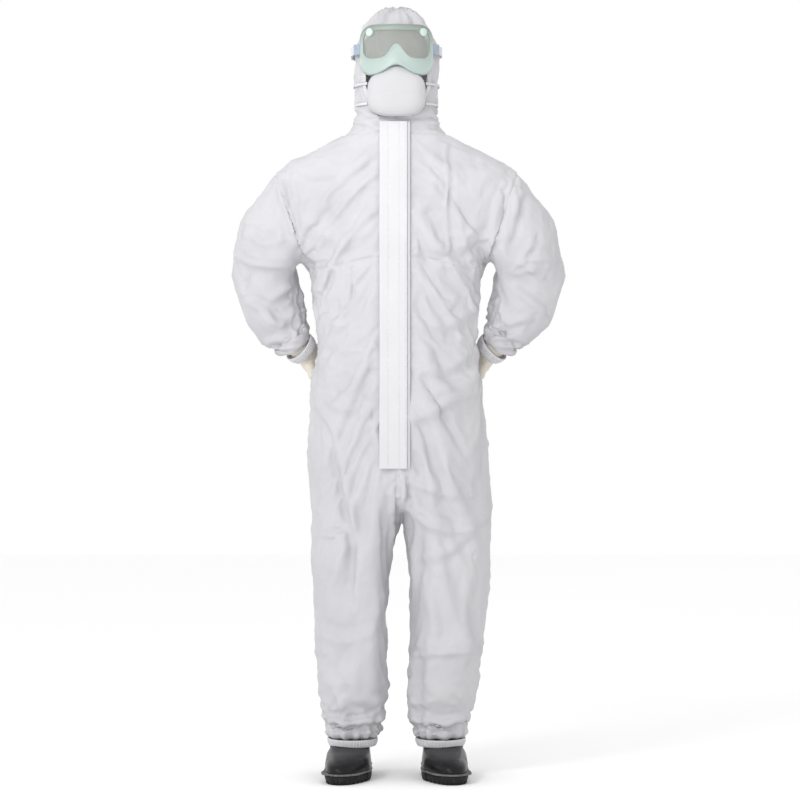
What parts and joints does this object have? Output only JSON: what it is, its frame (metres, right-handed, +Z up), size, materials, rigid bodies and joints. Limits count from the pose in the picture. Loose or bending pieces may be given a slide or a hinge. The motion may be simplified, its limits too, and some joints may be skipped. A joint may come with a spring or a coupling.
{
  "type": "chemical protective suit",
  "caption": "Hooded white protective coverall, empty and standing in its worn shape, with goggles, cup mask, gloves and boots; hood, arms, flap and zip move.",
  "frame": {"origin": "on the floor, below the middle of the suit's bounding box", "axes": "+Z up; the suit faces -Y; the wearer's left side is +X"},
  "size_m": [0.7784, 0.3302, 1.758],
  "materials": {
    "coverall_fabric": "matt, point-bonded nonwoven",
    "elastic": "matt ribbed elastic",
    "zip_fabric": "matt woven tape",
    "zip_plastic": "satin nylon",
    "zip_metal": "satin, white painted",
    "adhesive": "silk release paper",
    "goggle_frame": "clear green-tinted soft vinyl",
    "goggle_lens": "clear polycarbonate",
    "vent_plastic": "satin",
    "clip_plastic": "bluish satin",
    "strap": "matt ribbed elastic",
    "mask": "matt moulded felt",
    "aluminium": "satin",
    "foam": "matt foam",
    "strap_yellow": "matt",
    "steel": "bright",
    "glove": "matt latex",
    "boot_rubber": "glossy",
    "welt": "matt grey",
    "sole": "matt",
    "insole": "matt felt"
  },
  "bodies": {
    "suit": {"left_chest_panel": "coverall_fabric", "right_chest_panel": "coverall_fabric", "left_front_panel": "coverall_fabric", "right_front_panel": "coverall_fabric", "upper_back_panel": "coverall_fabric", "left_back_panel": "coverall_fabric", "right_back_panel": "coverall_fabric", "left_collar": "coverall_fabric", "right_collar": "coverall_fabric", "waist_elastic": "elastic", "left_ankle_elastic": "elastic", "right_ankle_elastic": "elastic", "left_zip_tape": "zip_fabric", "right_zip_tape": "zip_fabric", "left_zip_coil": "zip_plastic", "right_zip_coil": "zip_plastic", "zip_top_stops": "zip_metal", "zip_bottom_stop": "zip_metal", "flap_seam": "coverall_fabric", "left_boot_sole": "sole", "right_boot_sole": "sole", "left_boot_welt": "welt", "right_boot_welt": "welt", "left_boot_upper": "boot_rubber", "right_boot_upper": "boot_rubber", "left_boot_insole": "insole", "right_boot_insole": "insole"},
    "right_upper_arm": {"right_upper_sleeve": "coverall_fabric"},
    "right_forearm": {"right_forearm_sleeve": "coverall_fabric", "right_cuff_elastic": "elastic", "right_glove": "glove"},
    "left_upper_arm": {"left_upper_sleeve": "coverall_fabric"},
    "left_forearm": {"left_forearm_sleeve": "coverall_fabric", "left_cuff_elastic": "elastic", "left_glove": "glove"},
    "hood": {"left_hood_panel": "coverall_fabric", "right_hood_panel": "coverall_fabric", "hood_crown_panel": "coverall_fabric", "chin_panel": "coverall_fabric", "face_elastic": "elastic", "goggle_strap": "strap", "strap_buckle": "clip_plastic", "mask_upper_strap": "strap_yellow", "mask_lower_strap": "strap_yellow"},
    "goggles": {"goggle_frame": "goggle_frame", "goggle_lens": "goggle_lens", "goggle_vent_caps": "vent_plastic", "goggle_strap_clips": "clip_plastic"},
    "mask": {"mask_shell": "mask", "mask_nose_clip": "aluminium", "mask_nose_foam": "foam", "mask_staples": "steel"},
    "flap": {"storm_flap": "coverall_fabric", "flap_adhesive_tape": "adhesive"},
    "slider": {"zip_slider": "zip_metal"},
    "pull": {"zip_pull": "zip_metal"}
  },
  "joints": [
    {"name": "right_shoulder", "type": "hinge", "parent": "suit", "child": "right_upper_arm", "pos_m": [-0.28146, 0.02335, 1.38746], "axis": [0, 1, 0], "range_deg": [0, 45]},
    {"name": "right_elbow", "type": "hinge", "parent": "right_upper_arm", "child": "right_forearm", "pos_m": [-0.38165, 0.12818, 1.1737], "axis": [0.4799, 0.8528, 0.2059], "range_deg": [0, 50]},
    {"name": "left_shoulder", "type": "hinge", "parent": "suit", "child": "left_upper_arm", "pos_m": [0.28146, 0.02335, 1.38746], "axis": [0, -1, 0], "range_deg": [0, 45]},
    {"name": "left_elbow", "type": "hinge", "parent": "left_upper_arm", "child": "left_forearm", "pos_m": [0.38165, 0.12818, 1.1737], "axis": [0.4799, -0.8528, -0.2059], "range_deg": [0, 50]},
    {"name": "hood_turn", "type": "hinge", "parent": "suit", "child": "hood", "pos_m": [0, 0.01835, 1.49525], "axis": [0, 0, 1], "range_deg": [-30, 30]},
    {"name": "goggles_pull", "type": "slide", "parent": "hood", "child": "goggles", "axis": [0, -1, 0], "range_m": [0, 0.06], "stiffness_N_per_m": 60, "deforming": ["goggle_strap"]},
    {"name": "mask_pull", "type": "slide", "parent": "hood", "child": "mask", "axis": [0, -1, 0], "range_m": [0, 0.05], "stiffness_N_per_m": 40, "deforming": ["mask_upper_strap", "mask_lower_strap"]},
    {"name": "flap_open", "type": "hinge", "parent": "suit", "child": "flap", "pos_m": [0.024, -0.11364, 0.70531], "axis": [0, 0.0445, 0.999], "range_deg": [0, 150]},
    {"name": "zip_slide", "type": "slide", "parent": "suit", "child": "slider", "axis": [0, -0.0445, -0.999], "range_m": [0, 0.739]},
    {"name": "zip_pull_swing", "type": "hinge", "parent": "slider", "child": "pull", "pos_m": [0, -0.07595, 1.4754], "axis": [-1, 0, 0], "range_deg": [0, 90]}
  ],
  "couplings": [
    {"joint": "zip_pull_swing", "follows": "flap_open", "ratio": 0.6}
  ]
}
